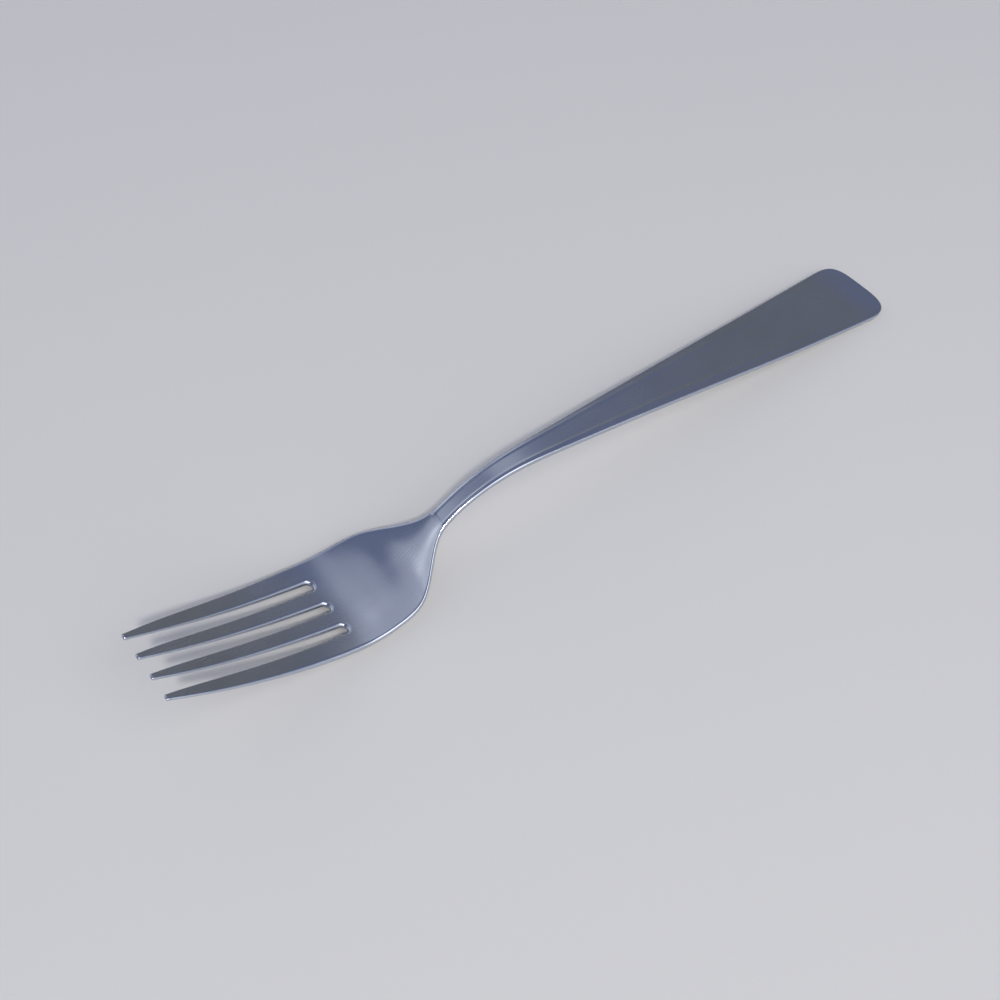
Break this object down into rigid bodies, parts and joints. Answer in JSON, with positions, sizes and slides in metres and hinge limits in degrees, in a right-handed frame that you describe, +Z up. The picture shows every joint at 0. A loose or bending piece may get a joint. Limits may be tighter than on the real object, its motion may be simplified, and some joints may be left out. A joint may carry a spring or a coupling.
{
  "type": "table fork",
  "caption": "Table fork pressed from flat steel, with slim pointed tines, a dished bowl, a narrow arched neck and a long tapered handle with a raised border line.",
  "frame": {"origin": "on the table, under the middle of the fork's length and width", "axes": "+X along the fork from the tine tips to the handle end, +Y across it, +Z up, with the hollow of the bowl facing up"},
  "size_m": [0.2003, 0.0262, 0.0193],
  "materials": {
    "polished_steel": "stainless steel, satin polished, with a cool grey tone"
  },
  "bodies": {
    "root": {"fork": "polished_steel"}
  },
  "joints": []
}
